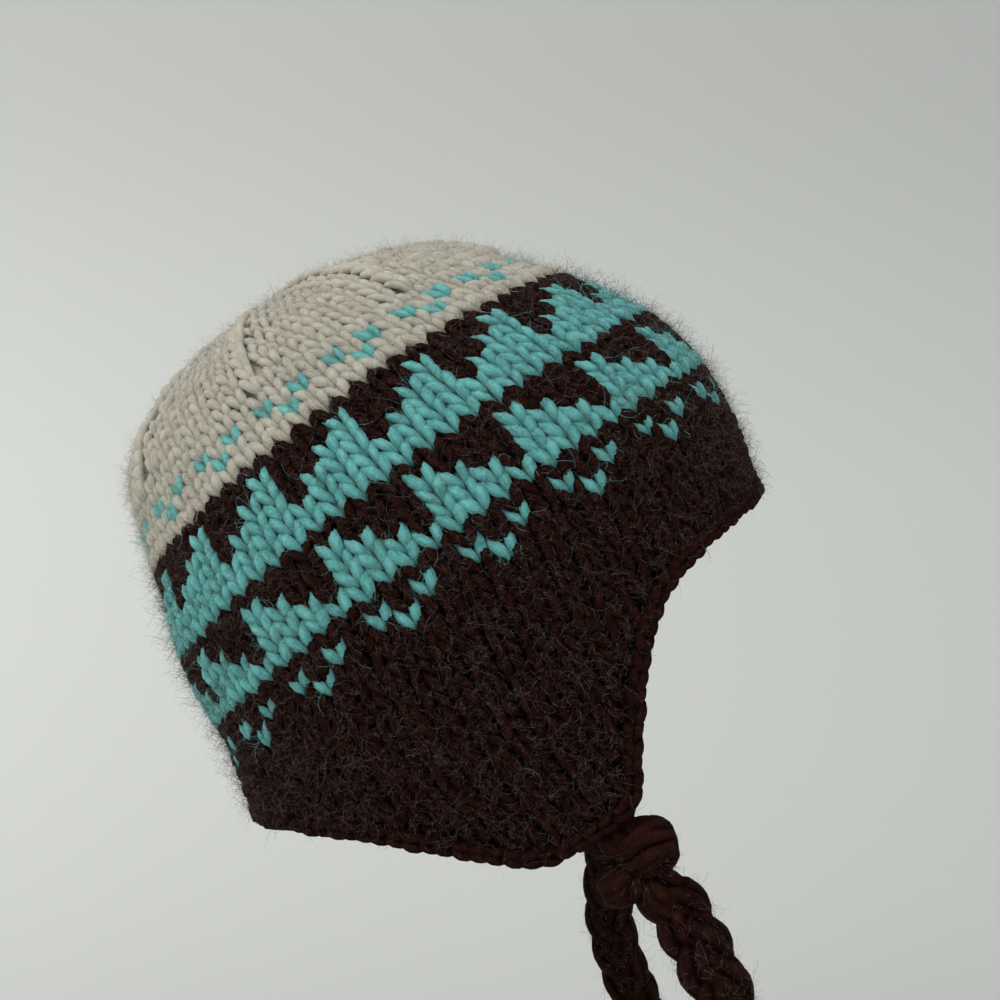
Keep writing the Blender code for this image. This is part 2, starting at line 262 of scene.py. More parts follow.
def on_hat(stitch, row):
    """Place and outward normal at a stitch and a row, both continuous."""
    across = np.mod(stitch, STITCHES) * FIELD_SHARE
    along = (np.clip(row, ROWS[0], ROWS[-1] - 1e-6) - ROWS[0]) / FIELD_STEP
    column = np.minimum(across.astype(int), FIELD_SHARE * STITCHES - 1)
    line = np.minimum(along.astype(int), len(ROWS) - 2)
    f = (across - column)[..., None]
    g = (along - line)[..., None]
    upper = FIELD[line, column] * (1 - f) + FIELD[line, column + 1] * f
    lower = FIELD[line + 1, column] * (1 - f) + FIELD[line + 1, column + 1] * f
    found = upper * (1 - g) + lower * g
    return found[..., :3], unit(found[..., 3:])


def girth(row):
    """The way round the hat at a row."""
    return np.interp(row, ROWS, GIRTHS)


def edge_rows(edge):
    """The row at which each of the fine stitch columns meets an edge given as depth by angle."""
    past = DEPTHS - edge(AZIMUTHS)
    lines = []
    for column in range(past.shape[1]):
        below = np.nonzero(past[:, column] > 0)[0]
        line = below[0] if len(below) else len(ROWS) - 1
        before, after = past[line - 1, column], past[line, column]
        lines.append(ROWS[line - 1] + FIELD_STEP * before / (before - after))
    return np.array(lines)


HEM_ROWS = edge_rows(hem_depth)
RIM_ROWS = edge_rows(rim_depth)


def hem_row(stitch):
    """The row at which the whole lower edge lies, at each stitch."""
    return np.interp(np.mod(stitch, STITCHES), FINE_STITCHES, HEM_ROWS)


def rim_row(stitch):
    """The row at which the plain rim lies, at each stitch."""
    return np.interp(np.mod(stitch, STITCHES), FINE_STITCHES, RIM_ROWS)


def yarn_at(stitch, row):
    """C, T or B: the colour of a whole stitch in a whole row."""
    repeat = -stitch % 4
    if row >= BAND_ROWS:
        return "B"
    if row >= 0:
        return CHART[row][repeat]
    if (row == -2 and repeat == 2) or (row == -3 and repeat % 2 == 1):
        return "T"
    return "C"


YARN_INDEX = {"C": 0, "T": 1, "B": 2}


# Materials, in the order of the chart's letters C, T and B
WOOLS = {
    # dark and light colour, sheen and its tint, how bright the painted shade leaves the yarn's flanks,
    # gloss
    "cream": ((0.315, 0.290, 0.232), (0.55, 0.522, 0.445), 0.14, (1, 0.98, 0.93), 1.0, 0.08),
    "turquoise": (
        (0.054, 0.265, 0.255), (0.205, 0.570, 0.548), 0.12, (0.7, 1, 0.97), 0.62, 0.10
    ),
    "brown": (
        (0.0028, 0.0005, 0.0003), (0.033, 0.0105, 0.0077), 0.0, (0.6, 0.45, 0.4), 0.05, 0.020
    ),
}
FIBRE_COLOURS = {
    # dark and light colour
    "cream": ((0.34, 0.32, 0.26), (0.58, 0.55, 0.48)),
    "turquoise": ((0.08, 0.27, 0.26), (0.20, 0.46, 0.44)),
    "brown": ((0.020, 0.012, 0.010), (0.145, 0.108, 0.094)),
}
STREAK_SCALE = (2600, 420, 1)
STREAK_TWIST = (0, 0, 0.22)
STREAK_PART = 0.55
# Rise below which the yarn's colour is painted fully in its flank's shade
PAINTED_SHADE_BELOW = 0.45


def node(tree, kind, **inputs):
    """A new node with some of its inputs set."""
    made = tree.nodes.new(kind)
    for name, value in inputs.items():
        made.inputs[name.replace("_", " ")].default_value = value
    return made


def noise(tree, place, scale, detail, roughness=0.5):
    """Noise over a texture place, from 0 to 1."""
    made = node(tree, "ShaderNodeTexNoise", Scale=scale, Detail=detail, Roughness=roughness)
    tree.links.new(place, made.inputs["Vector"])
    return made.outputs["Fac"]


def maths(tree, operation, *values):
    """A sum or product of sockets and numbers."""
    made = node(tree, "ShaderNodeMath")
    made.operation = operation
    for socket, value in zip(made.inputs, values):
        if isinstance(value, float):
            socket.default_value = value
        else:
            tree.links.new(value, socket)
    return made.outputs[0]


def colour_ramp(tree, value, *stops):
    """A blend of two colours, each stop a position and a colour."""
    made = node(tree, "ShaderNodeValToRGB")
    for element, (position, colour) in zip(made.color_ramp.elements, stops):
        element.position = position
        element.color = (*colour, 1)
    tree.links.new(value, made.inputs[0])
    return made.outputs[0]


def multiplied(tree, colour, value):
    """A colour times a value."""
    made = node(tree, "ShaderNodeMix")
    made.data_type = "RGBA"
    made.blend_type = "MULTIPLY"
    made.inputs["Factor"].default_value = 1
    tree.links.new(colour, made.inputs[6])
    tree.links.new(value, made.inputs[7])
    return made.outputs[2]


def new_material(name):
    """A material, its node tree, its shader and the place on the object."""
    material = bpy.data.materials.new(name)
    material.use_nodes = True
    tree = material.node_tree
    place = node(tree, "ShaderNodeTexCoord").outputs["Object"]
    return material, tree, tree.nodes["Principled BSDF"], place


def wool(name, dark, light, sheen, tint, painted_flank_shade, gloss):
    """Loosely spun wool: streaks along the yarn, thick and thin places, flanks painted in shade, sheen.
    """
    material, tree, shader, place = new_material(name)
    link = tree.links.new
    along_yarn = node(tree, "ShaderNodeUVMap")
    along_yarn.uv_map = "yarn"
    stretch = node(tree, "ShaderNodeMapping", Scale=STREAK_SCALE, Rotation=STREAK_TWIST)
    link(along_yarn.outputs[0], stretch.inputs[0])
    streaks = noise(tree, stretch.outputs[0], 1.0, 4.0, 0.62)
    clouds = noise(tree, place, 260.0, 3.0, 0.6)
    fuzz = noise(tree, place, 1900.0, 3.0, 0.7)
    cloudy = maths(tree, "MULTIPLY", clouds, 1 - STREAK_PART)
    blend = maths(tree, "MULTIPLY_ADD", streaks, STREAK_PART, cloudy)
    colour = colour_ramp(tree, blend, (0.33, dark), (0.66, light))
    # Painted shade: the yarn's colour darkens from its top down to its flanks, following the rise
    # attribute
    rise = node(tree, "ShaderNodeAttribute")
    rise.attribute_name = "rise"
    painted_shade = node(tree, "ShaderNodeMapRange", From_Min=PAINTED_SHADE_BELOW, To_Min=painted_flank_shade)
    link(rise.outputs["Fac"], painted_shade.inputs["Value"])
    link(multiplied(tree, colour, painted_shade.outputs["Result"]), shader.inputs["Base Color"])
    bump = node(tree, "ShaderNodeBump", Strength=0.55, Distance=0.0004)
    link(maths(tree, "ADD", streaks, fuzz), bump.inputs["Height"])
    link(bump.outputs[0], shader.inputs["Normal"])
    shader.inputs["Roughness"].default_value = 0.62
    shader.inputs["Specular IOR Level"].default_value = gloss
    shader.inputs["Sheen Weight"].default_value = sheen
    shader.inputs["Sheen Roughness"].default_value = 0.45
    shader.inputs["Sheen Tint"].default_value = (*tint, 1)
    return material


def fibre_wool(name, dark, light):
    """A loose fibre: plain and matt, of an uneven colour."""
    material, tree, shader, place = new_material(name)
    clouds = noise(tree, place, 700.0, 2.0)
    colour = colour_ramp(tree, clouds, (0.35, dark), (0.65, light))
    tree.links.new(colour, shader.inputs["Base Color"])
    shader.inputs["Roughness"].default_value = 0.7
    shader.inputs["Specular IOR Level"].default_value = 0.15
    return material


YARNS = [wool(f"{name}_wool_yarn", *looks) for name, looks in WOOLS.items()]
FIBRES = [fibre_wool(f"{name}_wool_fibre", *colours) for name, colours in FIBRE_COLOURS.items()]


# Mesh building. Each tube's streaks are shifted along it, so that no two are alike
YARN_SHIFT = 0.0731


def sweep(centres, normals, wide, thick, sides, yarn, proud=1.0):
    """Tubes through rows of centres, flattened along the normals.

    Gives points, faces, UVs, materials and each point's rise, 0 under the yarn to 1 on top of it; the
    wool paints low rises in shade and high ones in light.
    """
    tubes, rings = centres.shape[:2]
    tangent = unit(np.gradient(centres, axis=1))
    side = unit(np.cross(tangent, normals))
    up = np.cross(side, tangent)
    turn = -np.pi / 2 + 2 * np.pi * np.arange(sides) / sides
    points = centres[:, :, None]
    points = points + side[:, :, None] * (wide[..., None] * np.cos(turn))[..., None]
    points = points + up[:, :, None] * (thick[..., None] * np.sin(turn))[..., None]
    tube, ring, corner = np.meshgrid(
        np.arange(tubes), np.arange(rings - 1), np.arange(sides), indexing="ij"
    )
    here = (tube * rings + ring) * sides
    beside = (corner + 1) % sides
    near, far = here, here + sides
    faces = np.stack([near + corner, far + corner, far + beside, near + beside], -1)
    step = np.linalg.norm(np.diff(centres, axis=1), axis=2)
    run = np.concatenate([np.zeros((tubes, 1)), np.cumsum(step, axis=1)], axis=1)
    run = run + (np.arange(tubes) * YARN_SHIFT)[:, None]
    arc = 2 * np.pi * float(np.max(wide)) / sides
    v0 = run[tube, ring]
    v1 = run[tube, ring + 1]
    u0 = corner * arc
    uvs = np.stack([u0, v0, u0, v1, u0 + arc, v1, u0 + arc, v0], -1)
    yarn = np.broadcast_to(np.asarray(yarn), (tubes,))
    # Painted light and shade: proud scales each tube's rise, so a tube or part of one that lies in
    # shade is painted darker
    proud = np.broadcast_to(np.asarray(proud, float), (tubes, rings))[..., None]
    rise = proud * (0.5 + 0.5 * np.sin(turn))
    return (
        points.reshape(-1, 3),
        faces.reshape(-1, 4),
        uvs.reshape(-1, 4, 2),
        yarn[tube].reshape(-1),
        rise.reshape(-1),
    )


def joined(parts):
    """One set of points, faces, UVs, materials and rises (the painted light and shade) from several."""
    starts = np.cumsum([0] + [len(part[0]) for part in parts])
    faces = [part[1] + start for part, start in zip(parts, starts)]
    points, _, uvs, yarns, painted_lights = zip(*parts)
    return tuple(np.concatenate(rows) for rows in (points, faces, uvs, yarns, painted_lights))


def add_piece(name, part, nodes=(), materials=None):
    """A piece of the model from points, faces, UVs, materials and rises, the rises painting light and
    shade on the wool.
    """
    points, faces, uvs, yarn, rise = part
    mesh = bpy.data.meshes.new(name)
    mesh.vertices.add(len(points))
    mesh.vertices.foreach_set("co", points.astype(np.float32).ravel())
    mesh.loops.add(faces.size)
    mesh.loops.foreach_set("vertex_index", faces.astype(np.int32).ravel())
    mesh.polygons.add(len(faces))
    mesh.polygons.foreach_set("loop_start", np.arange(0, faces.size, 4, dtype=np.int32))
    for material in materials or YARNS:
        mesh.materials.append(material)
    mesh.polygons.foreach_set("material_index", yarn.astype(np.int32))
    layer = mesh.uv_layers.new(name="yarn")
    layer.data.foreach_set("uv", uvs.astype(np.float32).ravel())
    mesh.update(calc_edges=True)
    # The rise attribute paints the wool lighter on the yarn's tops and darker, in shade, on its flanks
    painted_light_shares = mesh.attributes.new("rise", "FLOAT", "POINT")
    painted_light_shares.data.foreach_set("value", rise.astype(np.float32))
    mesh.shade_smooth()
    piece = bpy.data.objects.new(name, mesh)
    bpy.context.scene.collection.objects.link(piece)
    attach(piece, "root")
    if nodes:
        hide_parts(*nodes)
    return piece


# Knitted stitches
LEG_SHARE = np.array([0.0, 0.16, 0.36, 0.58, 0.80, 1.0])
LEG_ASIDE = np.array([0.400, 0.375, 0.310, 0.225, 0.130, 0.040])
LEG_HEIGHT = np.array([-0.0040, -0.0026, -0.00175, -0.0017, -0.0025, -0.0042])
LEG_WIDE = np.array([0.55, 0.92, 1.05, 1.00, 0.70, 0.18])
LEG_THICK = np.array([0.60, 0.92, 1.0, 0.96, 0.74, 0.25])
# Painted shade along each leg: its ends get a lower rise and so are painted darker
LEG_PAINTED_LIGHT = np.array([0.45, 0.85, 1.0, 1.0, 0.85, 0.4])
LEG_RADIUS = 0.228
CREAM_SHARE = 1.12
BROWN_SHARE = 0.86
LEG_SLANT = 0.14
LEG_START = 0.42
LEG_REACH = 1.90
LEG_DEEPEST = 0.0019
LEG_SIDES = 6
# How much the stitches and their legs stray, in stitches, rows, shares or metres
CENTRE_STRAY = 0.022
ROW_STRAY = 0.05
REACH_STRAY = 0.08
PLUMP_STRAY = 0.08
LIFT_STRAY = 0.00022
ASIDE_STRAY = 0.014


def stitches(places, seed, fuller=1.0):
    """Two leaf-shaped legs for each stitch: centre, row, width in stitches, yarn and lift in mm."""
    chance = np.random.default_rng(seed)
    data = np.array(places, float)
    count = len(data)
    centre = data[:, 0] + chance.normal(0, CENTRE_STRAY, count)
    row = data[:, 1] + chance.normal(0, ROW_STRAY, count)
    width = data[:, 2]
    yarn = data[:, 3].astype(int)
    raised = data[:, 4] / 1000
    share = np.choose(yarn, [CREAM_SHARE, 1.0, BROWN_SHARE])
    real = girth(data[:, 1]) / STITCHES * width
    parts = []
    for sign in (-1, 1):
        reach = LEG_REACH + chance.normal(0, REACH_STRAY, count)
        plump = share * (1 + chance.normal(0, PLUMP_STRAY, count))
        lift = raised + chance.normal(0, LIFT_STRAY, count)
        aside = width[:, None] * (LEG_ASIDE * sign - LEG_SLANT * (LEG_SHARE - 0.5))
        aside = aside + chance.normal(0, ASIDE_STRAY, count)[:, None]
        along = row[:, None] - LEG_START + reach[:, None] * LEG_SHARE
        at, out = on_hat(centre[:, None] + aside, along)
        centres = at + out * (LEG_HEIGHT + lift[:, None])[..., None]
        radius = (LEG_RADIUS * real * plump * fuller)[:, None]
        thick = np.minimum(radius, LEG_DEEPEST) * LEG_THICK
        parts.append(sweep(centres, out, radius * LEG_WIDE, thick, LEG_SIDES, yarn, LEG_PAINTED_LIGHT))
    return joined(parts)


def crown_places():
    """Stitches of the crown, and of its spines, at which the columns beside them end."""
    places = []
    spines = []
    for row in range(-1, DECREASES_FROM - 1, -1):
        for stitch in range(STITCHES):
            places.append((stitch + 0.5 + PHASE, row, 1, YARN_INDEX[yarn_at(stitch, row)], 0))
    full = girth(DECREASES_FROM)
    wide = STITCHES / SECTORS
    for row in range(DECREASES_FROM - 1, TOP_ROW, -1):
        across = max(1.0, wide * girth(row) / full)
        width = wide / across
        swirl = SPINE_SWIRL * (DECREASES_FROM - row) / SWIRL_ROWS
        last = math.ceil(across - SECTOR_END) - 1
        for sector in range(SECTORS):
            spine = SPINE + swirl + sector * wide
            spines.append((spine, row, SPINE_WIDTH * width, YARN_INDEX["C"], SPINE_LIFT))
            for column in range(1, last + 1):
                lift = SPINE_SLOPE if across > SLOPE_FROM and column in (1, last) else 0
                places.append((spine + column * width, row, width, YARN_INDEX["C"], lift))
    return places, spines


def band_places(first, last):
    """Stitches of the band's rows, the dots of its last two rows small and sunk a little."""
    places = []
    for row in range(first, last):
        for stitch in range(STITCHES):
            yarn = YARN_INDEX[yarn_at(stitch, row)]
            dot = row >= DOT_ROWS and yarn == YARN_INDEX["T"]
            width, lift = (DOT_WIDTH, DOT_LIFT) if dot else (1, 0)
            places.append((stitch + 0.5 + PHASE, row, width, yarn, lift))
    return places


def lower_places(flap_side=None):
    """Brown stitches down to the rim, or those of one ear flap between the rim and its hem."""
    places = []
    for row in range(BAND_ROWS, int(LAST_ROW)):
        for stitch in range(STITCHES):
            centre = stitch + 0.5 + PHASE
            edge = min(hem_row(centre + aside) for aside in (-HALF_STITCH, 0, HALF_STITCH))
            if row + HEM_MARGIN > edge:
                continue
            in_flap = row + RIM_MARGIN > rim_row(centre)
            side = "right" if centre < STITCHES / 2 else "left"
            if (side if in_flap else None) == flap_side:
                places.append((centre, row, 1, YARN_INDEX["B"], 0))
    return places


# The inside: its depth, how far its bumps rise, and the plain layer close under the stitches
INSIDE = 0.0046
BUMP_RISE = 0.0014
BUMP_ARCS = [(0.5, 0.2), (0.0, 0.7)]
BUMP_WIDE = 0.34
BUMP_HIGH = 0.2
UNDER_CROWN = 0.0023
UNDER = 0.0031
INSIDE_SHARE = 3
PURL_STITCH = 0.0072


def purl_bumps(stitch, row):
    """The height of the purl side's two courses of short arcs, from 0 to 1."""
    bumps = np.zeros(row.shape)
    for aside, below in BUMP_ARCS:
        across = np.abs(np.mod(stitch - aside + 0.5, 1) - 0.5)
        down = np.abs(np.mod(row - below + 0.5, 1) - 0.5)
        bumps = np.maximum(bumps, np.exp(-((across / BUMP_WIDE) ** 2) - (down / BUMP_HIGH) ** 2))
    return bumps


def shell_layer(first, last, top, bottom, lines, columns, inward, swell, inner):
    """A sheet of the shell between two edges, the inner one bumpy and seen from inside."""
    across = np.linspace(first, last, columns + 1)
    share = np.linspace(0, 1, lines + 1)[:, None]
    rows = top(across) + (bottom(across) - top(across)) * share
    across = np.broadcast_to(across, rows.shape)
    bumps = purl_bumps(across - PHASE, rows)
    at, out = on_hat(across, rows)
    points = at - out * (inward + swell * bumps)[..., None]
    line, column = np.meshgrid(np.arange(lines), np.arange(columns), indexing="ij")
    here = line * (columns + 1) + column
    faces = np.stack([here, here + columns + 1, here + columns + 2, here + 1], -1)
    corners = [(line, column), (line + 1, column), (line + 1, column + 1), (line, column + 1)]
    u = np.stack([across[corner] for corner in corners], -1)
    v = np.stack([rows[corner] for corner in corners], -1)
    # The purl side's yarn runs round the hat, so its long way is the second coordinate
    uvs = np.stack([v * ROW, u * PURL_STITCH], -1)
    if inner:
        faces = faces[..., ::-1]
        uvs = uvs[..., ::-1, :]
    stitch = np.floor(u.mean(-1) - PHASE).ravel()
    row = np.floor(v.mean(-1)).ravel()
    yarn = np.array([YARN_INDEX[yarn_at(int(a), int(b))] for a, b in zip(stitch, row)])
    # Painted shade: the inside is painted darker in the hollows between its purl bumps, and the plain
    # layer under the stitches darker all over
    rise = (0.55 + 0.45 * bumps) if inner else np.full(bumps.shape, 0.5)
    return points.reshape(-1, 3), faces.reshape(-1, 4), uvs.reshape(-1, 4, 2), yarn, rise.ravel()


def shell_mesh(name, first, last, top, bottom, lines, under=UNDER):
    """The inside with its purl bumps, and a plain layer close under the stitches that is painted in
    shade.
    """
    edges = (first, last, top, bottom)
    plain = shell_layer(*edges, max(2, lines // 3), int(round(last - first)), under, 0.0, False)
    columns = int(round((last - first) * INSIDE_SHARE))
    inside = shell_layer(*edges, lines, columns, INSIDE, BUMP_RISE, True)
    return add_piece(name, joined([plain, inside]))


def flat_edge(row):
    """An edge that stays at one row all round."""
    return lambda stitch: np.full(np.shape(stitch), float(row))


def knit_hat():
    """All stitches of the hat and its inside, piece by piece."""
    closed = lobe(APEX + DOWN * 0.0036, DOWN, FRONT, (0.0024, 0.0046, 0.0046), 9, 10, YARN_INDEX["C"])
    plain, spines = crown_places()
    crown = joined([stitches(plain, 11), stitches(spines, 17, SPINE_PLUMP), closed])
    add_piece("crown_stitches", crown, ["crown"])
    upper = stitches(band_places(0, BAND_SPLIT), 12)
    lower = stitches(band_places(BAND_SPLIT, BAND_ROWS), 13)
    add_piece("band_stitches_upper", upper, ["pattern_band"])
    add_piece("band_stitches_lower", lower, ["pattern_band"])
    add_piece("lower_stitches", stitches(lower_places(), 14), ["lower_band"])
    for seed, side in ((15, "right"), (16, "left")):
        flap = stitches(lower_places(side), seed)
        add_piece(f"flap_stitches_{side}", flap, [f"ear_flap_{side}"])
    crown_edge, band_edge, band_end = (flat_edge(row) for row in (FIRST_ROW, 0, BAND_ROWS))
    shell_mesh("crown_inside", 0, STITCHES, crown_edge, band_edge, 60, UNDER_CROWN)
    shell_mesh("band_inside", 0, STITCHES, band_edge, band_end, 56)
    shell_mesh("lower_inside", 0, STITCHES, band_end, rim_row, 24)
    for side in ("right", "left"):
        inside = [s for s in FINE_STITCHES if hem_row(s) - rim_row(s) > FLAP_FROM]
        half = [s for s in inside if (s < STITCHES / 2) == (side == "right")]
        shell_mesh(f"flap_inside_{side}", half[0], half[-1], rim_row, hem_row, 36)


# Border: its loops overlap along the edge, in a row outside and a row inside it
LOOP_PITCH = 0.0049
LOOP_POINTS = 8
LOOP_REACH = 1.55
LOOP_SPREAD = 0.0021
LOOP_DROP = 0.0006
LOOP_RADIUS = 0.00165
LOOP_PROFILE = np.array([0.6, 0.95, 1.05, 0.98, 0.7, 0.2])
LOOP_ROWS = [
    # out from the edge's line, first loop's place, way it faces
    (-0.0008, 0, 1),
    (-0.0052, 0.5, -1),
]
CORE_RADIUS = 0.0023
SMOOTHED = 6


def hem_line():
    """Places along the whole lower edge at even steps, with outward normals and ways below it."""
    across = np.linspace(0, STITCHES, 1601)
    at, out = on_hat(across, hem_row(across))
    step = np.linalg.norm(np.diff(at, axis=0), axis=1)
    run = np.concatenate([[0], np.cumsum(step)])
    count = 2 * round(run[-1] / LOOP_PITCH / 2)
    fine = np.linspace(0, run[-1], count * LOOP_POINTS + 1)
    line = np.stack([np.interp(fine, run, at[:, axis]) for axis in range(3)], -1)
    normal = unit(np.stack([np.interp(fine, run, out[:, axis]) for axis in range(3)], -1))
    kernel = np.ones(2 * SMOOTHED + 1) / (2 * SMOOTHED + 1)
    padded = np.concatenate([line[-SMOOTHED - 1 : -1], line, line[1 : SMOOTHED + 1]])
    line = np.stack([np.convolve(padded[:, axis], kernel, "valid") for axis in range(3)], -1)
    along = unit(np.roll(line[:-1], -1, axis=0) - np.roll(line[:-1], 1, axis=0))
    along = np.concatenate([along, along[:1]])
    below = unit(np.cross(along, normal))
    below = below * np.where((below @ DOWN)[:, None] > 0, 1, -1)
    return line, normal, below, count


def make_border():
    """A chain of slanting loops over a core cord, on the outside and the inside of the edge."""
    line, normal, below, count = hem_line()
    chance = np.random.default_rng(21)
    total = len(line) - 1
    core = np.arange(0, total + 1, 4)
    centres = line[core] - normal[core] * 0.003 + below[core] * 0.0018
    flat = np.full((1, len(core)), CORE_RADIUS)
    brown = YARN_INDEX["B"]
    # The core cord's low rise paints it all in shade
    parts = [sweep(centres[None], normal[core][None], flat, flat, 8, [brown], 0.3)]
    steps = np.linspace(0, 1, 6)
    for out, first, face in LOOP_ROWS:
        for sign in (-1, 1):
            start = np.arange(count) + first + chance.normal(0, 0.05, count)
            share = start[:, None] + steps * LOOP_REACH
            swing = sign * LOOP_SPREAD * (1 - steps * 0.90)
            lift = np.sin(np.pi * steps) * 0.0014 - 0.0010
            outs = out + lift * face + chance.normal(0, 0.0001, count)[:, None]
            downs = LOOP_DROP + swing + chance.normal(0, 0.0002, count)[:, None]
            index = np.mod(np.round(share * LOOP_POINTS).astype(int), total)
            centres = line[index] + normal[index] * outs[..., None] + below[index] * downs[..., None]
            plump = (1 + chance.normal(0, 0.07, count))[:, None]
            radius = LOOP_RADIUS * plump * LOOP_PROFILE
            loops = np.full(count, brown)
            facing = normal[index] * face
            parts.append(sweep(centres, facing, radius, radius * 0.95, 7, loops, LEG_PAINTED_LIGHT))
    return add_piece("border_chain", joined(parts), ["edge_border"])


# Knots, braids and tufts
LOBE_RINGS = 15
LOBE_TWIST = 0.35
LOBE_OVERLAP = 1.12
LOBE_CORE = 0.86
KNOT_LOBES = [
    # place ahead and up of the knot, way ahead and up, half sizes, yarns, seed
    (0.0014, 0.0031, 1, 0.28, (0.0104, 0.0088, 0.0092), 13, 31),
    (-0.0056, -0.0072, 1, 0.5, (0.0072, 0.0062, 0.0074), 9, 32),
    (-0.0048, 0.0056, -0.6, 1, (0.0070, 0.0066, 0.0064), 8, 33),
]
END_LOBES = [
    (0.0032, 0.0016, 1, 0.5, (0.0102, 0.0078, 0.0092), 11, 35),
    (-0.0034, -0.0012, -1, 0.7, (0.0094, 0.0074, 0.0088), 10, 36),
    (0, 0.0074, 0, 1, (0.0056, 0.0062, 0.0060), 8, 37),
    (0, -0.0078, 0, 1, (0.0056, 0.0060, 0.0058), 8, 38),
]
BRAID_STEP = 0.0018
STRAND_YARNS = 5
YARN_PITCH = 0.075
TUFT_YARNS = 11
TUFT_PROFILE = 0.0021 * np.array([0.8, 1, 1.02, 1, 1.04, 1.02, 0.98, 0.8, 0.25])
TUFT_BELOW = 0.0232


def lobe(centre, along, facing, halves, yarns, seed, colour=YARN_INDEX["B"]):
    """A plump wrap of the knot: a filled egg shape of yarns that run from end to end."""
    chance = np.random.default_rng(seed)
    share = np.linspace(-1, 1, LOBE_RINGS)
    profile = np.sqrt(np.maximum(0.0, 1 - share**2)) ** 0.8
    along = unit(np.asarray(along, float))
    facing = unit(np.asarray(facing, float))
    facing = unit(facing - along * (facing @ along))
    side = np.cross(along, facing)
    thick = LOBE_OVERLAP * np.pi * (halves[1] + halves[2]) / 2 / yarns
    turn = 2 * np.pi * np.arange(yarns)[:, None] / yarns + share * LOBE_TWIST
    turn = turn + chance.normal(0, 0.10, (yarns, 1))
    turn = turn + 0.12 * np.sin(share * 3 + chance.uniform(0, 6, (yarns, 1)))
    deep = thick * (0.8 + chance.normal(0, 0.12, (yarns, 1)))[..., None]
    across = np.cos(turn)[..., None] * side * (halves[1] - deep)
    across = across + np.sin(turn)[..., None] * facing * (halves[2] - deep)
    centres = np.asarray(centre) + along * (share * (halves[0] - thick * 0.6))[:, None]
    centres = centres + across * profile[:, None]
    out = unit(across + along * share[:, None] * 0.004)
    wide = thick * (0.35 + 0.65 * profile) * (1 + chance.normal(0, 0.06, (yarns, 1)))
    shell = sweep(centres, out, wide, wide * 0.9, 8, np.full(yarns, colour))
    core = np.asarray(centre) + along * (share * halves[0] * LOBE_CORE)[:, None]
    fat = (halves[1] + halves[2]) / 2 * 0.78 * profile + 0.0003
    above = np.broadcast_to(facing, core.shape)[None]
    # The filling's low rise paints it all in shade
    filling = sweep(core[None], above, fat[None], fat[None], 12, [colour], 0.35)
    return joined([shell, filling])


def lobes(centre, table, out):
    """The wraps of a knot, from their places, ways and sizes."""
    return [
        lobe(centre + AHEAD * ahead + UP * up, AHEAD * to_front + UP * to_top, out, halves, yarns, seed)
        for ahead, up, to_front, to_top, halves, yarns, seed in table
    ]


def even_route(points, step):
    """The smooth line through the points at even steps, and its length."""
    line = smooth_line(points, 12)
    run = np.concatenate([[0], np.cumsum(np.linalg.norm(np.diff(line, axis=0), axis=1))])
    count = int(round(run[-1] / step))
    fine = np.linspace(0, run[-1], count + 1)
    return np.stack([np.interp(fine, run, line[:, axis]) for axis in range(3)], -1), run[-1]


def braid(route, side, seed):
    """Three plump strands plaited along the route, each a bundle of five soft yarns."""
    path, length = even_route(route, BRAID_STEP)
    lead = path[0] + unit(path[0] - path[1]) * np.linspace(LEAD, LEAD / 5, 5)[:, None]
    line = np.concatenate([lead, path])
    tangent = unit(np.gradient(line, axis=0))
    out = RIGHT * side
    across = unit(np.cross(tangent, out))
    deep = np.cross(across, tangent)
    run = np.linspace(0, length + LEAD, len(line))
    ends = np.clip((length + LEAD - run) / 0.010, 0, 1)
    gather = 0.6 + 0.4 * ends * ends * (3 - 2 * ends)
    gather = gather * np.sqrt(np.clip(run / 0.009, 0.0004, 1))
    parts = []
    for strand in range(3):
        phase = 2 * np.pi * (run / BRAID_PITCH + strand / 3) + seed
        sway = BRAID_SWAY * np.sin(phase) * gather
        depth = BRAID_DEPTH * np.sin(2 * phase) * gather
        centre = line + across * sway[:, None] + deep * depth[:, None]
        own = unit(np.gradient(centre, axis=0))
        flat = unit(np.cross(own, deep))
        proud = np.cross(flat, own)
        for yarn in range(STRAND_YARNS):
            turn = 2 * np.pi * (yarn / STRAND_YARNS + run / YARN_PITCH) + strand
            ring = STRAND_RADIUS * 0.56 * gather
            spoke = flat * np.cos(turn)[:, None] + proud * np.sin(turn)[:, None]
            place = centre + spoke * ring[:, None]
            uneven = 1 + 0.07 * np.sin(run * 700 + yarn * 2 + strand)
            wide = (STRAND_RADIUS * 0.45 * gather * uneven)[None]
            parts.append(sweep(place[None], spoke[None], wide, wide * 0.95, 8, [YARN_INDEX["B"]]))
    return joined(parts), path, length


def tuft(top, seed):
    """The cut ends of the strands: yarns that hang close together and fray a little."""
    chance = np.random.default_rng(seed)
    count = TUFT_YARNS
    steps = np.linspace(0, 1, len(TUFT_PROFILE))
    turn = np.arange(count) * 2.4
    ring = 0.0052 * np.sqrt((np.arange(count) + 0.5) / count)
    drop = 0.0300 + chance.uniform(-0.0035, 0.0012, count)
    spread = 1 + 0.35 * steps[None] + chance.normal(0, 0.05, count)[:, None]
    gather = 0.35 + 0.65 * np.minimum(1, steps * 4)
    sway = chance.normal(0, 0.0006, (count, 2))
    x = (ring * np.cos(turn))[:, None] * spread * gather + sway[:, :1] * np.sin(steps * 4)
    y = (ring * np.sin(turn))[:, None] * spread * gather + sway[:, 1:] * np.sin(steps * 4)
    z = -drop[:, None] * steps
    centres = np.asarray(top) + np.stack([x, y, z], -1)
    radius = TUFT_PROFILE * (1 + chance.normal(0, 0.06, count))[:, None]
    facing = np.broadcast_to(np.array([-1.0, 0.2, 0]), centres.shape)
    return sweep(centres, facing, radius, radius, 8, np.full(count, YARN_INDEX["B"]))


def middle(name):
    """The middle of a solid's box."""
    low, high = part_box(name)
    return (np.array(low) + np.array(high)) / 2


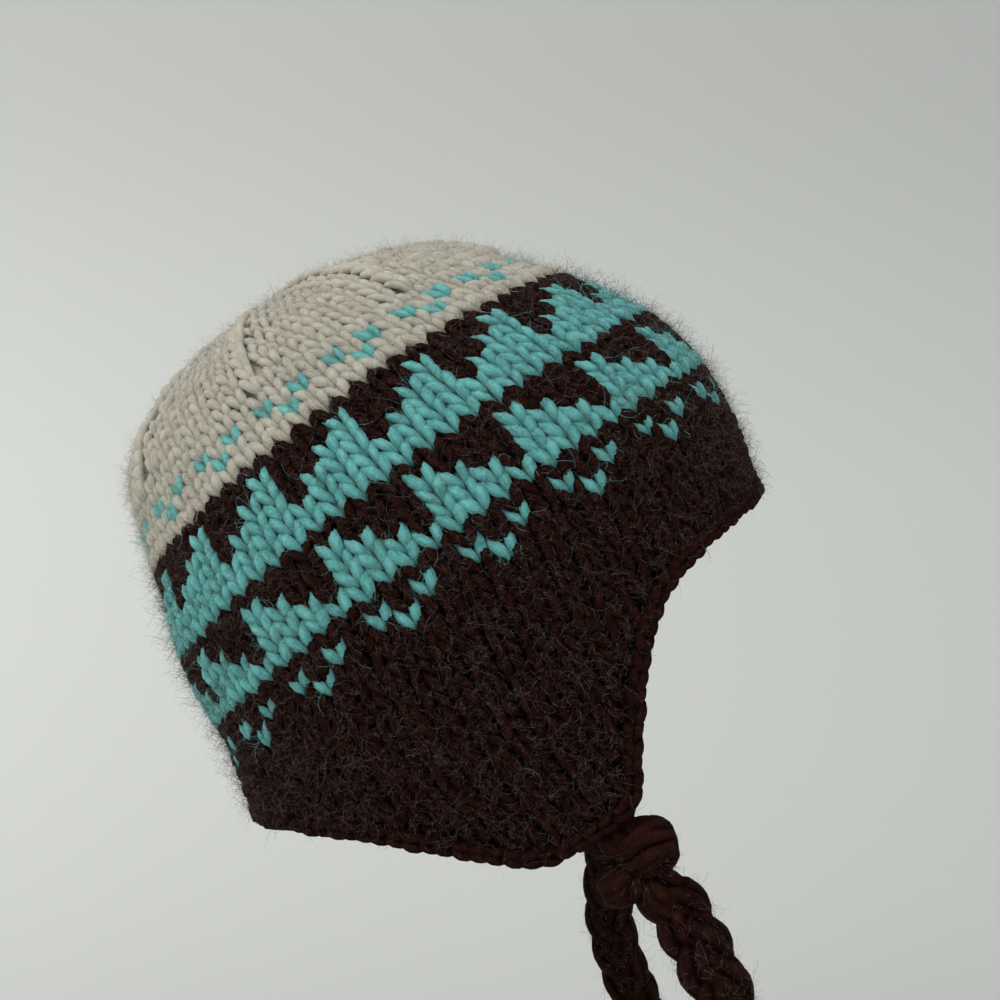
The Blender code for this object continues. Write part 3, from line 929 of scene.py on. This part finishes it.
def make_ties():
    """Both ties with their knots and tufts, and where their loose fibres will stand."""
    made = []
    for name, side, route, seed in (("right", 1, RIGHT_ROUTE, 0.4), ("left", -1, LEFT_ROUTE, 2.1)):
        out = RIGHT * side
        part, line, length = braid(route, side, seed)
        tie = add_piece(f"braided_tie_{name}", part, [f"tie_braid_{name}"])
        start = np.array(route[0])
        axis = unit(start - np.array(route[1]))
        knot = KNOT_PLACE * (side, 1, 1)
        root = start + axis * 0.0008 - AHEAD * 0.0020
        wraps = lobes(knot, KNOT_LOBES, out)
        wraps.append(lobe(root, axis, out, (0.0082, 0.0080, 0.0074), 10, 34))
        add_piece(f"knot_lobes_{name}", joined(wraps), [f"flap_knot_{name}"])
        low = middle(f"end_knot_{name}")
        ends = joined(lobes(low, END_LOBES, out))
        end = add_piece(f"tie_end_knot_{name}", ends, [f"end_knot_{name}"])
        top = np.array(route[-1]) - UP * TUFT_BELOW
        tassel = add_piece(f"tie_ends_{name}", tuft(top, 41), [f"tie_tuft_{name}"])
        made.append((name, line, knot, low, top))
    return made


# Loose fibres
FIBRE_HALF_WIDTH = 0.000045
TIE_BENDS = 4
CURL = 4.2
FUZZ = [
    # piece, slot, rows, seed, short and long fibres, the longest, share of brown strays
    ("crown_fibres", "cream_wool", -19, 0, 51, 19000, 11500, 0.0085, 0.06),
    ("band_fibres", "pattern_wool", 0, 14, 52, 20000, 16500, 0.0105, 0.65),
    ("lower_fibres", "brown_wool", 14, 30, 53, 8000, 11000, 0.0095, 0),
]


def fibres(roots, normals, lengths, flatness, yarn, seed, bends):
    """Thin curled ribbons that rise from the wool and turn back towards it."""
    chance = np.random.default_rng(seed)
    count = len(roots)
    spin = unit(chance.normal(0, 1, (count, 3)))
    tangent = unit(np.cross(normals, spin))
    side = unit(np.cross(normals, tangent))
    share = np.linspace(0, 1, bends + 1)
    # The fibre turns steadily towards one side as it runs, and its rise dies away
    turn = chance.normal(0, CURL, count)[:, None] * share + chance.uniform(0, 6.3, count)[:, None]
    sink = 1 - 1.1 * share * chance.uniform(0, 1, (count, 1))
    rise = np.cos(flatness * np.pi / 2)[:, None] * sink
    level = np.sqrt(np.maximum(0.05, 1 - rise**2))
    way = normals[:, None] * rise[..., None]
    way = way + tangent[:, None] * (level * np.cos(turn))[..., None]
    way = way + side[:, None] * (level * np.sin(turn))[..., None]
    steps = way[:, :-1] * (lengths / bends)[:, None, None]
    run = np.concatenate([np.zeros((count, 1, 3)), np.cumsum(steps, axis=1)], axis=1)
    places = roots[:, None] + run
    across = unit(np.cross(way, unit(chance.normal(0, 1, (count, 1, 3)))))
    half = FIBRE_HALF_WIDTH * (1 - 0.5 * share)[None, :, None]
    points = np.stack([places - across * half, places + across * half], 2)
    hair, ring = np.meshgrid(np.arange(count), np.arange(bends), indexing="ij")
    here = (hair * (bends + 1) + ring) * 2
    faces = np.stack([here, here + 1, here + 3, here + 2], -1)
    uvs = np.zeros((faces.shape[0] * bends, 4, 2))
    yarns = np.asarray(yarn)[hair]
    lit = np.ones(count * (bends + 1) * 2)
    return points.reshape(-1, 3), faces.reshape(-1, 4), uvs, yarns.reshape(-1), lit


def hat_fibres(low, high, seed, short, curled, longest, stray):
    """Short mist and longer curls over the rows between two, some of them strays of brown wool."""
    chance = np.random.default_rng(seed)
    parts = []
    for count, least, most, bends in ((short, 0.0014, 0.0034, 1), (curled, 0.0034, longest, 4)):
        # Places are drawn evenly, and those off the hat or too many on a short row are dropped
        stitch = chance.uniform(0, STITCHES, count * 3)
        row = chance.uniform(low, high, count * 3)
        keep = chance.uniform(0, GIRTHS.max(), count * 3) < girth(row)
        keep &= row < hem_row(stitch) + 0.3
        stitch, row = stitch[keep][:count], row[keep][:count]
        at, out = on_hat(stitch, row)
        under = zip(np.floor(stitch - PHASE), np.floor(row - 0.1))
        yarn = np.array([YARN_INDEX[yarn_at(int(a), int(b))] for a, b in under])
        size = len(at)
        yarn = np.where(chance.uniform(0, 1, size) < stray, YARN_INDEX["B"], yarn)
        lengths = least + (most - least) * chance.power(0.7, size)
        flat = chance.uniform(0.15, 0.95, size)
        parts.append(fibres(at - out * 0.0009, out, lengths, flat, yarn, seed + bends, bends))
    return joined(parts)


def loose_ends(roots, out, longest, seed, chance):
    """Brown fibres that stand out from a tie or a knot."""
    count = len(roots)
    lengths = 0.002 + longest * chance.power(0.5, count)
    flat = chance.uniform(0.3, 1.0, count)
    return fibres(roots, out, lengths, flat, np.full(count, YARN_INDEX["B"]), seed, TIE_BENDS)


def tie_fibres(line, radius, count, seed):
    """Loose fibres round a line."""
    chance = np.random.default_rng(seed)
    index = chance.integers(0, len(line), count)
    tangent = unit(np.gradient(line, axis=0))[index]
    out = unit(np.cross(tangent, chance.normal(0, 1, (count, 3))))
    return loose_ends(line[index] + out * radius, out, 0.0065, seed, chance)


def ball_fibres(centre, radius, count, seed):
    """Loose fibres round a knot."""
    chance = np.random.default_rng(seed)
    out = unit(chance.normal(0, 1, (count, 3)))
    return loose_ends(centre + out * radius, out, 0.006, seed, chance)


def make_fuzz(ties):
    """The loose fibres of the hat and of its ties."""
    for name, slot, *sizes in FUZZ:
        add_piece(name, hat_fibres(*sizes), materials=FIBRES)
    for name, line, knot, low, top in ties:
        tassel = np.linspace(top, top + (0, 0, -0.028), 10)
        parts = [
            tie_fibres(line, 0.0082, 2600, 61),
            ball_fibres(knot, 0.0095, 900, 62),
            ball_fibres(low, 0.0095, 700, 63),
            tie_fibres(tassel, 0.0062, 350, 64),
        ]
        add_piece(f"tie_fibres_{name}", joined(parts), materials=FIBRES)


# Camera, floor, backdrop and light
FLOOR = -0.452
STAGE_REACH = 3.0
BEND_START = 0.5
BEND_RADIUS = 0.5
BEND_STEPS = 16
WALL_DARK = (0.590, 0.601, 0.576)
WALL_LIGHT = (0.610, 0.621, 0.596)
LIGHTS = [
    # name, place, target, size, power, colour
    ("key", (-0.75, 0.75, 1.05), (0, 0, -0.1), 0.9, 16, (1, 0.985, 0.96)),
    ("fill", (-1.3, -0.9, 0.35), (0, 0, -0.1), 1.4, 5, (0.95, 0.98, 1)),
    ("wall", (0.35, 1.15, -0.10), (1.0, 0.42, 0.0), 0.8, 2.7, (1, 1, 1)),
]


def make_camera():
    """The photo's camera, level with the ear and square to the hat's side."""
    camera = bpy.data.cameras.new("camera")
    camera.lens = 49.68
    camera.sensor_width = 36
    camera.clip_start = 0.01
    placed = bpy.data.objects.new("camera", camera)
    placed.location = (-0.46, -0.0233, -0.0774)
    placed.rotation_euler = (math.radians(90), 0, math.radians(-90))
    bpy.context.scene.collection.objects.link(placed)
    bpy.context.scene.camera = placed


def make_stage():
    """A floor that curves up into a wall behind the hat."""
    profile = [(-STAGE_REACH, FLOOR), (-1.0, FLOOR), (0.3, FLOOR)]
    for angle in np.linspace(0, math.pi / 2, BEND_STEPS + 1):
        across = BEND_START + BEND_RADIUS * math.sin(angle)
        profile.append((across, FLOOR + BEND_RADIUS * (1 - math.cos(angle))))
    profile.append((BEND_START + BEND_RADIUS, STAGE_REACH))
    verts = [(x, y, z) for y in (-STAGE_REACH, STAGE_REACH) for x, z in profile]
    count = len(profile)
    faces = [(i, i + 1, i + 1 + count, i + count) for i in range(count - 1)]
    mesh = bpy.data.meshes.new("sweep")
    mesh.from_pydata(verts, [], faces)
    mesh.shade_smooth()
    material, tree, shader, place = new_material("pale_paint")
    clouds = noise(tree, place, 1.2, 1.0)
    paint = colour_ramp(tree, clouds, (0, WALL_DARK), (1, WALL_LIGHT))
    # Painted light and shade: the wall gets a little darker towards its top and a little lighter low
    # down
    height = node(tree, "ShaderNodeSeparateXYZ")
    tree.links.new(place, height.inputs[0])
    painted_wall_shade = node(tree, "ShaderNodeMapRange", From_Min=-0.10, From_Max=0.46, To_Min=1.09, To_Max=0.88)
    painted_wall_shade.interpolation_type = "SMOOTHSTEP"
    tree.links.new(height.outputs["Z"], painted_wall_shade.inputs["Value"])
    tree.links.new(multiplied(tree, paint, painted_wall_shade.outputs["Result"]), shader.inputs["Base Color"])
    shader.inputs["Roughness"].default_value = 0.9
    shader.inputs["Specular IOR Level"].default_value = 0.1
    mesh.materials.append(material)
    stage = bpy.data.objects.new("sweep", mesh)
    bpy.context.scene.collection.objects.link(stage)


def area_light(name, place, target, size, power, colour):
    """A square lamp that points at a target."""
    lamp = bpy.data.lights.new(name, "AREA")
    lamp.size = size
    lamp.energy = power
    lamp.color = colour
    placed = bpy.data.objects.new(name, lamp)
    placed.location = place
    direction = np.array(target) - np.array(place)
    placed.rotation_mode = "QUATERNION"
    placed.rotation_quaternion = Vector(direction).to_track_quat("-Z", "Y")
    bpy.context.scene.collection.objects.link(placed)


def make_light():
    """Even daylight from all round, a soft key from above and a glow on the wall."""
    world = bpy.data.worlds.new("studio")
    world.use_nodes = True
    background = world.node_tree.nodes["Background"]
    background.inputs["Color"].default_value = (0.95, 0.975, 0.99, 1)
    background.inputs["Strength"].default_value = 0.56
    bpy.context.scene.world = world
    for light in LIGHTS:
        area_light(*light)
    bpy.context.scene.view_settings.view_transform = "Standard"


make_camera()
TIES = make_ties()
knit_hat()
make_border()
make_fuzz(TIES)
make_stage()
make_light()
